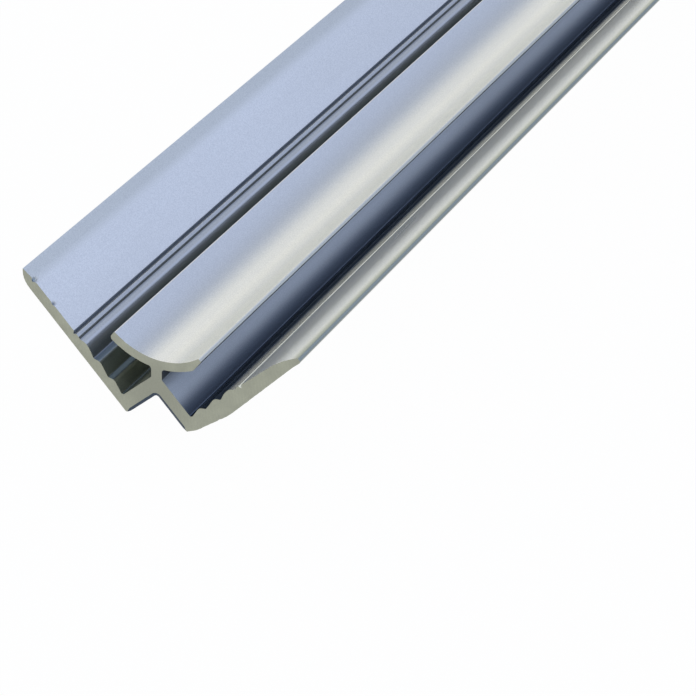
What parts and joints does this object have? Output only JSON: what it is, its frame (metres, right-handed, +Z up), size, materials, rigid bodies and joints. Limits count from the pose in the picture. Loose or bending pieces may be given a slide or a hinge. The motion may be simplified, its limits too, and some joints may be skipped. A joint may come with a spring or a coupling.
{
  "type": "aluminium inside-corner cove trim profile",
  "caption": "Straight extruded aluminium bar for an inside corner of wall panels: flanges at a right angle, a concave cove on a diagonal web and toothed slots for the panels' edges.",
  "frame": {"origin": "middle of the bar's length, under the middle of its section, on the plane of the first flange's back", "axes": "+Y along the bar, +Z up from the back of the first flange, +X towards the back of the second flange"},
  "size_m": [0.03, 1, 0.03],
  "materials": {
    "anodised_aluminium": "satin anodised, with sawn ends"
  },
  "bodies": {
    "root": {"profile": "anodised_aluminium"}
  },
  "joints": []
}
